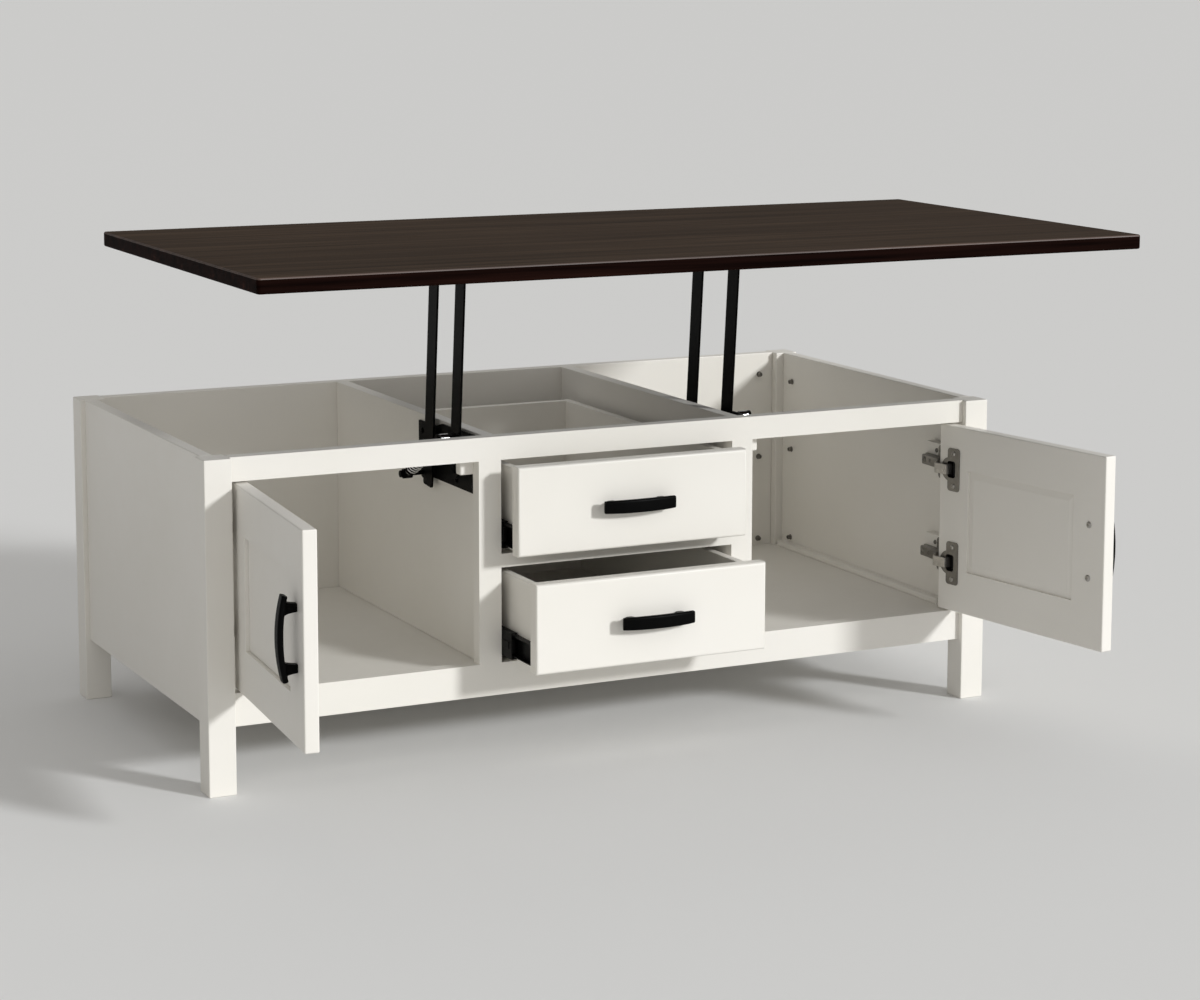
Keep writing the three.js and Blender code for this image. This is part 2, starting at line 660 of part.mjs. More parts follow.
// ---- tabletop on its brackets: the group's origin is on the rear upper pivot ----
function addTop(root) {
  const top = new THREE.Group();
  top.position.set(
    0,
    REAR_PIVOT_Y - ARM * Math.sin(LEAN),
    BASE_PIVOT_Z + ARM * Math.cos(LEAN),
  );
  root.add(top);

  // Lowered, the tabletop lies centred over the cabinet.
  const middleY = -(REAR_PIVOT_Y + ARM * Math.cos(CLOSED_TILT));
  const [width, depth, thick] = TOP;
  const shape = roundedRect(
    new THREE.Shape(),
    0,
    middleY,
    width - 2 * TOP_EASE,
    depth - 2 * TOP_EASE,
    TOP_CORNER - TOP_EASE,
  );
  const board = new THREE.ExtrudeGeometry(shape, {
    depth: thick - 2 * TOP_EASE,
    bevelThickness: TOP_EASE,
    bevelSize: TOP_EASE,
    bevelSegments: 2,
    curveSegments: 4,
  });
  place(top, "tabletop", board.translate(0, 0, PIVOT_BELOW_TOP + TOP_EASE), WOOD);

  const spacing = FRONT_PIVOT_Y - REAR_PIVOT_Y;
  const flangeZ = PIVOT_BELOW_TOP - FIT;
  const flangeY = [spacing - LUG_HALF - 10, LUG_HALF + 10];
  const [pointHalf, pointBelow] = LUG_POINT;
  const [endReach, endZ] = BRACKET_END;
  const cheek = outline([
    [spacing - LUG_HALF, flangeZ],
    [spacing - LUG_HALF, LUG_SHOULDER],
    [spacing - pointHalf, -pointBelow],
    [spacing + pointHalf, -pointBelow],
    [spacing + endReach, endZ],
    [-endReach, endZ],
    [-pointHalf, -pointBelow],
    [pointHalf, -pointBelow],
    [LUG_HALF, LUG_SHOULDER],
    [LUG_HALF, flangeZ],
  ]);
  const bolted = BRACKET_X[0] + 0.5;
  for (const [sideName, side] of [["left", -1], ["right", 1]]) {
    const flangeX = [BASE_X[1], BRACKET_X[1]];
    const bracket = join(
      plateX(cheek, spanX(side, BRACKET_X)),
      sideBlock(side, flangeX, flangeY, [flangeZ - BRACKET_FLANGE_T, flangeZ]),
      ...pivotBolt(side, bolted, FRONT_ARM_X, spacing, 0, true),
      ...pivotBolt(side, bolted, REAR_ARM_X, 0, 0),
    );
    place(top, `top_bracket_${sideName}`, bracket, BLACK);
  }
}

// ---- the whole table ----
const table = new THREE.Group();
addLegs(table);
addPanels(table);
addFloor(table);
addFaceFrame(table);
addHingeMounts(table);
addLiftBases(table);
addDoor(table, "left", -1, LEFT_DOOR_OPEN);
addDoor(table, "right", 1, RIGHT_DOOR_OPEN);
DRAWERS.forEach((level) => addDrawer(table, level));
addArms(table);
addStruts(table);
addTop(table);

// The origin is on the floor, under the middle of the table as it stands in this pose.
const reach = new THREE.Box3().setFromObject(table, true);
table.position.y = -Math.round(reach.min.y + reach.max.y) / 2;

export default table;
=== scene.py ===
"""Lift top coffee table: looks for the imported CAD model. Lengths are millimetres until a mesh is made."""
import json
import math

import bmesh
import bpy
from mathutils import Matrix, Vector


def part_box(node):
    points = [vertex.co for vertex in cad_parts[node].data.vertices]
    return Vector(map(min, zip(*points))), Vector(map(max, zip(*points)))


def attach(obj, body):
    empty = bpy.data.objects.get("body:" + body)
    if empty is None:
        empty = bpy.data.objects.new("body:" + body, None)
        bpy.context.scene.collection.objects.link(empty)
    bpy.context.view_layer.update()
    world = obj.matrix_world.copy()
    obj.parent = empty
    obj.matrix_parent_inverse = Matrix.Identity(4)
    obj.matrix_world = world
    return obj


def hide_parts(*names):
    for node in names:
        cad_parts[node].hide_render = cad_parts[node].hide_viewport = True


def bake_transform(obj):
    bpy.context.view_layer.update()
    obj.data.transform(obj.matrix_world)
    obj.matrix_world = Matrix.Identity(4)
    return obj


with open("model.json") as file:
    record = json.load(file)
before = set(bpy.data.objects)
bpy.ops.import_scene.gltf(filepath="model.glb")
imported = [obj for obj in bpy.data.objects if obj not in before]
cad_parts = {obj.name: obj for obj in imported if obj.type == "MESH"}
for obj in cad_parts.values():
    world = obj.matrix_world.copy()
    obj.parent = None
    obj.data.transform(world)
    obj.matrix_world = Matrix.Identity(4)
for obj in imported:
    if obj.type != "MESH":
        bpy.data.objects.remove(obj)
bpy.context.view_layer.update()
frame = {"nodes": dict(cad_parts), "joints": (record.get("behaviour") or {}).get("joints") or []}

MM = 0.001
SIDES = {"left": -1, "right": 1}
LEVELS = {"lower": 210, "upper": 350}  # heights of the hinges
ROUND = 48  # segments of a large round

# ---- painted wood ----
EASE = 1.5  # rounding of painted edges
FRONT_EASE = 4  # rounding round the faces of drawer fronts and doors
BOX_EASE = 1
METAL_EASE = 0.6  # rounding of cut steel edges
SMOOTH_ANGLE = 35  # degrees; sharper edges stay crisp

# ---- glue blocks and cleats ----
BLOCK = (32, 16, 48)
BLOCK_DROP = 21  # under the top rail
CLEAT = (14, 9)  # width and height of the strip along the floor's side edges
CLEAT_ENDS = (40, 10)  # short of the front frame and of the side panel's back edge
BLOCK_EASE = 2.5
CLEAT_EASE = 1.5

# ---- connector bolts on the inner faces ----
BOLT_PROFILE = [(3.5, 0), (3.5, 5.4), (3.1, 6), (1.9, 6), (1.8, 3.6), (0.4, 3.4)]  # radius, height
BOLT_WASHER = (4.6, 0.9)  # radius, height
SIDE_BOLT_Z = (147, 294, 406)
SIDE_BOLT_FROM_BACK = 43.5
BACK_BOLT_Z = (140.6, 278, 415)
BACK_BOLT_X = 540

# ---- tabletop ----
TOP_CORNER = 5
TOP_EASE = 2.5
ARRIS_TILT = (0.15, 0.9)  # upward share of the normals on its upper arris, whose wood is painted lighter as a highlight; faces below the first share take the edge wood, painted darker as shade

# ---- doors, in their own frame: hinge pin at the origin, -Y outwards when closed ----
DOOR_OPEN = {"left": 95, "right": 98.5}  # degrees, at rest
DOOR_WIDTH = 348
DOOR_Z = (138, 415)
DOOR_Y = (-6, 13)  # outer and inner face
PIN_FROM_EDGE = 11
DOOR_MEMBER = 63
DOOR_EASE = 2
OPENING_EASE = 1
PANEL_Y = (-1, 11.5)
PANEL_SLOPE = (11, 2.0)  # width and fall of the raised panel's border
PANEL_GROOVE = (1.6, 2)  # width and depth of the groove round its outer face
OPENING_CHAMFER = 4.5  # round the outer face's opening
PANEL_TUCK = 0.3  # panel's edge inside the frame
PANEL_CRISP = 8  # degrees; keeps the border's creases crisp
HANDLE_FROM_EDGE = 31

# ---- handles: u along, v out from the face, w across ----
HANDLE_HALF = 54
HANDLE_CENTRES = 76
HANDLE_OUT = 26
HANDLE_RISE = 7
BOW = 8
BOW_WIDTH = 19
BOW_ROUND = 3.1
POST_PROFILE = [  # height above the face, length, width
    (0, 11, 12.5),
    (6, 12, 13.5),
    (12, 14, 14.5),
    (16, 17, 16),
    (18.5, 20, 16.5),
]
HANDLE_STATIONS = 28
HANDLE_VOXEL = 0.8
HANDLE_SCREW_R = 4.8

# ---- hinges ----
CUP_FROM_EDGE = 22.5
CUP_R = 17.5
CUP_DEPTH = 11.5
CUP_SLACK = 0.2  # between the cup and its bore
FLANGE = (26, 64, 1.5)
FLANGE_SHIFT = 9.5  # flange middle from the cup's middle, away from the hinge edge
MOUTH = (17, 25)
MOUTH_SHIFT = 5  # mouth and the dark block that paints the cup's shade, from the cup's middle, as the flange
# Dark block at the bottom of each cup's mouth, painted shade for the deep cup: its width and height
CUP_SHADE_BLOCK = (16, 22)
CUP_SHADE_BLOCK_Z = (1.4, 3.6)  # above the cup's bottom
SPRING_BAR = (1.6, 22)  # radius, length
SPRING_BAR_AT = (8, -2)  # from the cup's middle, and from the door's face
SCREW_SPAN = 24  # flange screws above and below the middle
LINK = (2.4, 15)  # thickness and width
LINK_ARM_END = (541, 22)  # from the middle of the cabinet, and behind the pin
PACKING = 14  # thickness of the block behind the mounting plate
PACKING_HALF = 26
MOUNT_Y = (-108.5, -45.5)  # front and back that the block and the base are placed by
WING_Y = -82
WING = (14, 50, 2)
WING_SLOT = 17  # slots and their screws above and below the middle
ARM_PROFILE = [  # y, lower and upper height over the packing, half width
    (MOUNT_Y[1], 3, 12, 7),
    (MOUNT_Y[1] - 2, 2.5, 13, 7.5),
    (-68, 2.5, 13, 7.5),
    (-74, 4, 14, 7.5),
    (-90, 5, 15, 7),
    (-98, 8, 20, 6.8),
    (-106, 13, 25, 6.8),
    (-109, 14, 25, 6.5),
]
KNUCKLE = (2.6, 17)  # radius, length
KNUCKLE_AT = (106, 22)  # -y and height over the packing
MOUNT_SCREWS = [  # y, height above the middle, height over the packing, radius
    (-53, 0, 12.6, 4.6),
    (-70, 0, 12.8, 3.4),
    (WING_Y, WING_SLOT, 1.6, 3.6),
    (WING_Y, -WING_SLOT, 1.6, 3.6),
    (-68, 15, 0, 3.4),
]

# ---- drawer slides ----
RIB_LENGTH = 192
RIB_HALF = 5
STOP_START = 8  # the stop ends and the rib starts this far behind the front end
STOP_HALF = 10

# ---- lifting mechanism ----
STRUT_X = 234
SPRING_R = 7.7
WIRE_R = 1.3
SPRING_TURNS = 16
SPRING_SPAN = (12.5, 129.5)  # from the anchor, along the strut
SLEEVE_R = 8.2
SLEEVE_LENGTH = 45
TIP_R = 6.6
TIP_Z = (3, 9)  # past the spring's end
BASE_THICKNESS = 3
BASE_SCREWS = [  # from the base plate's front and bottom, or its back and top where negative
    (12, 12),
    (12, -22),
    (70, 10),
    (110, -24),
    (-14, -20),
]
BASE_SCREW_R = 4


# ---- shapes: a shape is a list of points in millimetres and a list of faces ----
def joined(*shapes):
    points, faces = [], []
    for shape_points, shape_faces in shapes:
        start = len(points)
        points.extend(shape_points)
        faces.extend([[start + i for i in face] for face in shape_faces])
    return points, faces


def moved(shape, matrix):
    return [matrix @ Vector(p) for p in shape[0]], shape[1]


def loft(rings, closed=False):
    """Skins a row of rings of equal count; the ends are capped unless the row closes on itself."""
    count = len(rings[0])
    points = [p for ring in rings for p in ring]
    faces = []
    spans = len(rings) if closed else len(rings) - 1
    for r in range(spans):
        a, b = r * count, (r + 1) % len(rings) * count
        for i in range(count):
            j = (i + 1) % count
            faces.append([a + i, a + j, b + j, b + i])
    if not closed:
        faces.append(list(range(count))[::-1])
        faces.append([len(points) - count + i for i in range(count)])
    return points, faces


def rounded_rect(width, height, radius, steps=5):
    """A rounded rectangle's outline as a function of how far it is inset."""
    def outline(inset):
        w, h = width / 2 - inset, height / 2 - inset
        r = max(radius - inset, 0.05)
        points = []
        for k, (sx, sy) in enumerate([(1, 1), (-1, 1), (-1, -1), (1, -1)]):
            for s in range(steps + 1):
                a = math.radians(90 * k + 90 * s / steps)
                points.append((sx * (w - r) + r * math.cos(a), sy * (h - r) + r * math.sin(a)))
        return points
    return outline


def plate(outline, low, high, ease, steps=3):
    """A plate between two heights whose edges are rounded by ease."""
    turns = [math.radians(90 * s / steps) for s in range(steps + 1)]
    levels = [(ease * (1 - math.sin(a)), low + ease * (1 - math.cos(a))) for a in turns]
    levels += [(inset, high - (z - low)) for inset, z in reversed(levels)]
    return loft([[(u, v, z) for u, v in outline(inset)] for inset, z in levels])


def turned(profile, segments=ROUND):
    """A solid of revolution about Z from (radius, height) points, low to high."""
    angles = [2 * math.pi * s / segments for s in range(segments)]
    return loft([[(r * math.cos(a), r * math.sin(a), z) for a in angles] for r, z in profile])


def rod(radius, low, high, ease=0.4, segments=24):
    return turned(
        [(radius - ease, low), (radius, low + ease), (radius, high - ease), (radius - ease, high)],
        segments,
    )


def eased_block(low, high, ease, corner=None):
    """A box between two corners with rounded edges."""
    size = [h - l for l, h in zip(low, high)]
    middle = [(l + h) / 2 for l, h in zip(low, high)]
    outline = rounded_rect(size[0], size[1], corner or ease)
    shape = plate(outline, -size[2] / 2, size[2] / 2, ease)
    return moved(shape, Matrix.Translation(middle))


def sweep(path, radius, sides=10):
    """A round tube along a path."""
    rings = []
    for k, point in enumerate(path):
        ahead = path[min(k + 1, len(path) - 1)] - path[max(k - 1, 0)]
        turn = ahead.to_track_quat("Z", "X").to_matrix()
        angles = [2 * math.pi * s / sides for s in range(sides)]
        rings.append([point + turn @ Vector((radius * math.cos(a), radius * math.sin(a), 0)) for a in angles])
    return loft(rings)


def grid_plate(xs, zs, voids, y):
    """A plate between two y values made of the cells between the given lines, without the voids."""
    def solid(i, j):
        return 0 <= i < len(xs) - 1 and 0 <= j < len(zs) - 1 and (i, j) not in voids
    points, faces = [], []

    def quad(*corners):
        start = len(points)
        points.extend(corners)
        faces.append([start, start + 1, start + 2, start + 3])
    for i in range(len(xs) - 1):
        for j in range(len(zs) - 1):
            if not solid(i, j):
                continue
            x0, x1, z0, z1 = xs[i], xs[i + 1], zs[j], zs[j + 1]
            for depth in y:
                quad((x0, depth, z0), (x1, depth, z0), (x1, depth, z1), (x0, depth, z1))
            for x, beside in ((x0, (i - 1, j)), (x1, (i + 1, j))):
                if not solid(*beside):
                    quad((x, y[0], z0), (x, y[0], z1), (x, y[1], z1), (x, y[1], z0))
            for z, beside in ((z0, (i, j - 1)), (z1, (i, j + 1))):
                if not solid(*beside):
                    quad((x0, y[0], z), (x1, y[0], z), (x1, y[1], z), (x0, y[1], z))
    return points, faces


# ---- meshes ----
def to_bmesh(shape):
    mesh = bpy.data.meshes.new("shape")
    mesh.from_pydata([tuple(p) for p in shape[0]], [], shape[1])
    bm = bmesh.new()
    bm.from_mesh(mesh)
    bpy.data.meshes.remove(mesh)
    tidy(bm)
    return bm


def from_node(node):
    """A CAD node's solid in millimetres, with its flat faces whole."""
    bm = bmesh.new()
    bm.from_mesh(frame["nodes"][node].data)
    bmesh.ops.scale(bm, vec=(1 / MM,) * 3, verts=bm.verts)
    tidy(bm)
    return bm


def tidy(bm):
    bmesh.ops.remove_doubles(bm, verts=bm.verts, dist=0.01)
    bmesh.ops.dissolve_limit(bm, angle_limit=math.radians(1), verts=bm.verts, edges=bm.edges)
    bmesh.ops.recalc_face_normals(bm, faces=bm.faces)


def ease_edges(bm, width, chosen=lambda edge: True, segments=3):
    """Rounds the chosen sharp outer edges."""
    sharp = [
        e for e in bm.edges
        if e.is_manifold and e.is_convex and e.calc_face_angle() > math.radians(50) and chosen(e)
    ]
    bmesh.ops.bevel(
        bm, geom=sharp, offset=width, offset_type="OFFSET", segments=segments,
        profile=0.5, affect="EDGES", clamp_overlap=True,
    )


def carved(bm, *tools):
    """The solid less each tool."""
    target = temporary(bm)
    for tool in tools:
        cutter = temporary(to_bmesh(tool))
        step = target.modifiers.new("cut", "BOOLEAN")
        step.operation, step.solver, step.object = "DIFFERENCE", "EXACT", cutter
    result = bmesh.new()
    result.from_object(target, bpy.context.evaluated_depsgraph_get())
    cutters = [step.object for step in target.modifiers]
    for obj in [target] + cutters:
        bpy.data.objects.remove(obj)
    bmesh.ops.remove_doubles(result, verts=result.verts, dist=0.005)
    return result


def temporary(bm):
    mesh = bpy.data.meshes.new("temporary")
    bm.to_mesh(mesh)
    bm.free()
    obj = bpy.data.objects.new("temporary", mesh)
    bpy.context.scene.collection.objects.link(obj)
    return obj


def make(name, bm, material, body, replaces=(), place=Matrix()):
    """Turns a bmesh in millimetres into a piece that rides on a body."""
    if isinstance(bm, tuple):
        bm = to_bmesh(bm)
    bmesh.ops.transform(bm, matrix=Matrix.Scale(MM, 4) @ place, verts=bm.verts)
    mesh = bpy.data.meshes.new(name)
    bm.to_mesh(mesh)
    bm.free()
    return show(name, mesh, material, body, replaces)


def show(name, mesh, material, body, replaces=()):
    mesh.shade_smooth()
    mesh.set_sharp_from_angle(angle=math.radians(SMOOTH_ANGLE))
    mesh.materials.clear()
    mesh.materials.append(material)
    obj = bpy.data.objects.new(name, mesh)
    bpy.context.scene.collection.objects.link(obj)
    normals = obj.modifiers.new("flat faces", "WEIGHTED_NORMAL")
    normals.weight = 100
    normals.keep_sharp = True
    if replaces:
        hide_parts(*replaces)
    if body:
        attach(obj, body)
    return obj


# ---- materials ----
class Shader:
    """A node material: constants go on the Principled sockets, patterns are linked in."""

    def __init__(self, name, **constants):
        self.material = bpy.data.materials.new(name)
        self.material.use_nodes = True
        self.nodes = self.material.node_tree.nodes
        self.links = self.material.node_tree.links
        self.surface = self.nodes["Principled BSDF"]
        self.place = self.nodes.new("ShaderNodeTexCoord").outputs["Object"]
        for socket, value in constants.items():
            self.surface.inputs[socket.replace("_", " ")].default_value = value

    def noise(self, scale, detail=3.0, roughness=0.5, distortion=0.0):
        """Noise whose scale is given per metre along each axis."""
        mapping = self.nodes.new("ShaderNodeMapping")
        mapping.inputs["Scale"].default_value = scale if isinstance(scale, tuple) else (scale,) * 3
        self.links.new(self.place, mapping.inputs["Vector"])
        noise = self.nodes.new("ShaderNodeTexNoise")
        noise.inputs["Scale"].default_value = 1.0
        noise.inputs["Detail"].default_value = detail
        noise.inputs["Roughness"].default_value = roughness
        noise.inputs["Distortion"].default_value = distortion
        self.links.new(mapping.outputs["Vector"], noise.inputs["Vector"])
        return noise.outputs["Fac"]

    def ramp(self, value, stops):
        ramp = self.nodes.new("ShaderNodeValToRGB")
        elements = ramp.color_ramp.elements
        while len(elements) < len(stops):
            elements.new(0.5)
        for element, (position, colour) in zip(elements, stops):
            element.position = position
            element.color = (*colour, 1.0)
        self.links.new(value, ramp.inputs["Fac"])
        return ramp.outputs["Color"]

    def spread(self, value, low, high):
        """Spreads the middle half of a pattern between two numbers."""
        spread = self.nodes.new("ShaderNodeMapRange")
        spread.inputs["From Min"].default_value = 0.3
        spread.inputs["From Max"].default_value = 0.7
        spread.inputs["To Min"].default_value = low
        spread.inputs["To Max"].default_value = high
        self.links.new(value, spread.inputs["Value"])
        return spread.outputs["Result"]

    def mixed(self, factor, first, second, blend="MIX"):
        mix = self.nodes.new("ShaderNodeMix")
        mix.data_type = "RGBA"
        mix.blend_type = blend
        self.links.new(factor, mix.inputs["Factor"])
        self.links.new(first, mix.inputs["A"])
        self.links.new(second, mix.inputs["B"])
        return mix.outputs["Result"]

    def bump(self, height, depth_mm, strength=1.0, after=None):
        bump = self.nodes.new("ShaderNodeBump")
        bump.inputs["Strength"].default_value = strength
        bump.inputs["Distance"].default_value = depth_mm * MM
        self.links.new(height, bump.inputs["Height"])
        if after:
            self.links.new(after, bump.inputs["Normal"])
        return bump.outputs["Normal"]

    def set(self, socket, output):
        self.links.new(output, self.surface.inputs[socket])
        return self


def white_paint():
    """Sprayed satin paint: a faint cloudiness, fine orange peel."""
    s = Shader("white_paint", Specular_IOR_Level=0.4)
    cloud = s.noise(3.0, detail=4)
    s.set("Base Color", s.ramp(cloud, [(0.3, (0.805, 0.78, 0.72)), (0.7, (0.84, 0.815, 0.765))]))
    s.set("Roughness", s.spread(s.noise(40.0), 0.38, 0.48))
    peel = s.bump(s.noise(900.0, detail=2), 0.012)
    s.set("Normal", s.bump(s.noise(90.0, detail=2), 0.03, after=peel))
    return s.material


def dark_wood(name, gloss, dark, light, streak):
    """Espresso stain: long grain along X, fine open pores and paler streaks."""
    s = Shader(name, Specular_IOR_Level=gloss)
    grain = s.noise((1.6, 60.0, 60.0), detail=6, roughness=0.6, distortion=0.6)
    fibre = s.noise((12.0, 700.0, 700.0), detail=3)
    tone = s.ramp(grain, [(0.3, dark), (0.62, light), (0.8, streak)])
    fine = s.ramp(fibre, [(0.35, (0.62, 0.6, 0.58)), (0.65, (1.0, 1.0, 1.0))])
    factor = s.noise(5.0)
    s.set("Base Color", s.mixed(s.spread(factor, 0.5, 1.0), tone, fine, blend="MULTIPLY"))
    s.set("Roughness", s.spread(fibre, 0.44, 0.58))
    s.set("Normal", s.bump(fibre, 0.05, strength=0.6))
    return s.material


def powder_black(name, tone, roughness, gloss=0.08):
    """Fine powder coat."""
    s = Shader(name, Specular_IOR_Level=gloss)
    mottle = s.noise(120.0, detail=4)
    s.set("Base Color", s.ramp(mottle, [(0.3, (tone * 0.8,) * 3), (0.7, (tone * 1.25,) * 3)]))
    s.set("Roughness", s.spread(s.noise(400.0), roughness - 0.06, roughness + 0.06))
    s.set("Normal", s.bump(s.noise(1800.0, detail=2), 0.02))
    return s.material


def plated(name, tone, low, high, metal=1.0):
    """Plated steel with faint drawing lines."""
    s = Shader(name, Metallic=metal)
    cloud = s.noise(150.0, detail=4)
    dull = tuple(c * 0.8 for c in tone)
    s.set("Base Color", s.ramp(cloud, [(0.3, dull), (0.7, tone)]))
    lines = s.noise((2500.0, 200.0, 200.0), detail=2)
    s.set("Roughness", s.spread(lines, low, high))
    s.set("Normal", s.bump(lines, 0.01))
    return s.material


WHITE = white_paint()
TOP_WOOD = dark_wood(
    "dark_wood", 0.02,
    dark=(0.026, 0.016, 0.010), light=(0.066, 0.043, 0.028), streak=(0.090, 0.060, 0.040),
)
# Copy of the stain for the tabletop's side and under faces, painted far darker than the top as shade; its
# reddish streaks are the stain's own.
SHADED_EDGE_WOOD = dark_wood(
    "dark_wood_edge_painted_shade", 0.01,
    dark=(0.001, 0.0004, 0.0003), light=(0.015, 0.0053, 0.0038), streak=(0.07, 0.025, 0.017),
)
# Copy of the stain for the tabletop's upper arris, painted lighter as a highlight; its high gloss is real.
ARRIS_HIGHLIGHT_WOOD = dark_wood(
    "dark_wood_arris_painted_highlight", 0.6,
    dark=(0.03, 0.016, 0.011), light=(0.09, 0.050, 0.036), streak=(0.18, 0.09, 0.06),
)
HANDLE_BLACK = powder_black("handle_black", 0.001, 0.4, gloss=0.05)
MECHANISM_BLACK = powder_black("mechanism_black", 0.0015, 0.4, gloss=0.03)
SLIDE_BLACK = powder_black("slide_black", 0.003, 0.4)
STEEL = plated("hinge_steel", (0.25, 0.238, 0.218), 0.30, 0.44)
# Brighter plating for screws and hinge links; on the links the brighter tone is painted light, standing for
# the light the link catches.
NICKEL_AND_LINK_LIGHT = plated("hinge_nickel_and_painted_link_light", (0.50, 0.48, 0.45), 0.26, 0.38)
CHROME = plated("chrome_steel", (0.80, 0.80, 0.81), 0.10, 0.20)
DARK_PLASTIC = powder_black("dark_plastic", 0.006, 0.5)


# ---- camera and light ----
ROOM_BASE = 0.05
ROOM_LIGHT = {  # the room is brighter to the front, the right and above: start, end, share
    "X": (-0.3, 1.0, 0.08),
    "Y": (0.3, -1.0, 0.42),
    "Z": (-0.2, 1.0, 0.42),
}


def add_camera():
    data = bpy.data.cameras.new("camera")
    data.lens = 87.77
    data.sensor_width = 36
    data.shift_x = -0.0532
    data.shift_y = -0.12
    camera = bpy.data.objects.new("camera", data)
    yaw, pitch, roll = (math.radians(a) for a in (-27.20, -7.93, 0.25))
    camera.matrix_world = (
        Matrix.Translation((-1.7769, -3.7262, 1.1081))
        @ Matrix.Rotation(yaw, 4, "Z")
        @ Matrix.Rotation(math.pi / 2 + pitch, 4, "X")
        @ Matrix.Rotation(roll, 4, "Z")
    )
    bpy.context.scene.collection.objects.link(camera)
    bpy.context.scene.camera = camera


def add_light():
    """A broad key from the front right, and a pale room that is dimmer towards the far horizon."""
    key = bpy.data.lights.new("key", "SUN")
    key.energy = 2.2
    key.angle = math.radians(7)
    key.color = (0.975, 0.988, 1.0)
    lamp = bpy.data.objects.new("key", key)
    azimuth, elevation = math.radians(33), math.radians(21)
    towards = Vector((math.sin(azimuth), -math.cos(azimuth), math.tan(elevation)))
    lamp.rotation_euler = towards.to_track_quat("Z", "Y").to_euler()
    bpy.context.scene.collection.objects.link(lamp)

    world = bpy.data.worlds.new("room")
    bpy.context.scene.world = world
    world.use_nodes = True
    nodes, links = world.node_tree.nodes, world.node_tree.links
    direction = nodes.new("ShaderNodeTexCoord").outputs["Generated"]
    split = nodes.new("ShaderNodeSeparateXYZ")
    links.new(direction, split.inputs["Vector"])
    total = None
    for axis, (start, end, share) in ROOM_LIGHT.items():
        spread = nodes.new("ShaderNodeMapRange")
        spread.interpolation_type = "SMOOTHSTEP"
        spread.inputs["From Min"].default_value = start
        spread.inputs["From Max"].default_value = end
        spread.inputs["To Max"].default_value = share
        links.new(split.outputs[axis], spread.inputs["Value"])
        add = nodes.new("ShaderNodeMath")
        add.inputs[1].default_value = ROOM_BASE
        links.new(spread.outputs["Result"], add.inputs[0])
        if total:
            links.new(total, add.inputs[1])
        total = add.outputs["Value"]
    links.new(total, nodes["Background"].inputs["Strength"])
    nodes["Background"].inputs["Color"].default_value = (1.0, 0.988, 0.965, 1)


def add_floor():
    reach = 200
    mesh = bpy.data.meshes.new("floor")
    corners = [(-reach, -reach, 0), (reach, -reach, 0), (reach, reach, 0), (-reach, reach, 0)]
    mesh.from_pydata(corners, [], [(0, 1, 2, 3)])
    pale = bpy.data.materials.new("pale_floor")
    pale.use_nodes = True
    surface = pale.node_tree.nodes["Principled BSDF"]
    surface.inputs["Base Color"].default_value = (0.80, 0.80, 0.795, 1)
    surface.inputs["Roughness"].default_value = 0.9
    surface.inputs["Specular IOR Level"].default_value = 0.1
    mesh.materials.append(pale)
    floor = bpy.data.objects.new("floor", mesh)
    bpy.context.scene.collection.objects.link(floor)


# ---- frame helpers ----
def node_box(node):
    """A CAD node's corners in millimetres."""
    low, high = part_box(node)
    return low / MM, high / MM


def joint(name):
    return next(j for j in frame["joints"] if j["name"] == name)


def door_place(side_name):
    """From a door's own frame to the open door."""
    pin = Vector(joint(f"{side_name}_door_hinge")["pos_m"]) / MM
    turn = math.radians(SIDES[side_name] * DOOR_OPEN[side_name])
    return Matrix.Translation((pin.x, pin.y, 0)) @ Matrix.Rotation(turn, 4, "Z")


# Local Z turned to -Y, out of the front, or to +Y, into the cabinet.
ALONG_MINUS_Y = Matrix(((1, 0, 0, 0), (0, 0, -1, 0), (0, 1, 0, 0), (0, 0, 0, 1)))
ALONG_Y = Matrix(((-1, 0, 0, 0), (0, 0, 1, 0), (0, 1, 0, 0), (0, 0, 0, 1)))


def along_x(sign):
    """Local Z to +X or -X, local X to +Y or -Y with it, local Y to Z."""
    return Matrix(((0, 0, sign, 0), (sign, 0, 0, 0), (0, 1, 0, 0), (0, 0, 0, 1)))


# ---- cabinet ----
def add_cabinet():
    plain = ["back_panel", "floor_panel"]
    for side in SIDES:
        plain += [f"leg_front_{side}", f"leg_back_{side}", f"side_panel_{side}", f"divider_{side}"]
    for node in plain:
        bm = from_node(node)
        ease_edges(bm, EASE)
        make(f"painted_{node}", bm, WHITE, "carcass", [node])


def add_face_frame():
    """Rails and stiles are glued and painted as one frame."""
    top_low, top_high = node_box("top_rail")
    bottom_low, bottom_high = node_box("bottom_rail")
    stile_low, stile_high = node_box("stile_right")
    middle_low, middle_high = node_box("drawer_rail")
    xs = [top_low.x, -stile_high.x, -stile_low.x, stile_low.x, stile_high.x, top_high.x]
    zs = [bottom_low.z, bottom_high.z, middle_low.z, middle_high.z, top_low.z, top_high.z]
    doors = {(i, j) for i in (0, 4) for j in (1, 2, 3)}
    drawers = {(2, 1), (2, 3)}
    bm = to_bmesh(grid_plate(xs, zs, doors | drawers, (top_low.y, top_high.y)))
    ease_edges(bm, EASE)
    parts = ["top_rail", "bottom_rail", "drawer_rail", "stile_left", "stile_right"]
    make("face_frame", bm, WHITE, "carcass", parts)


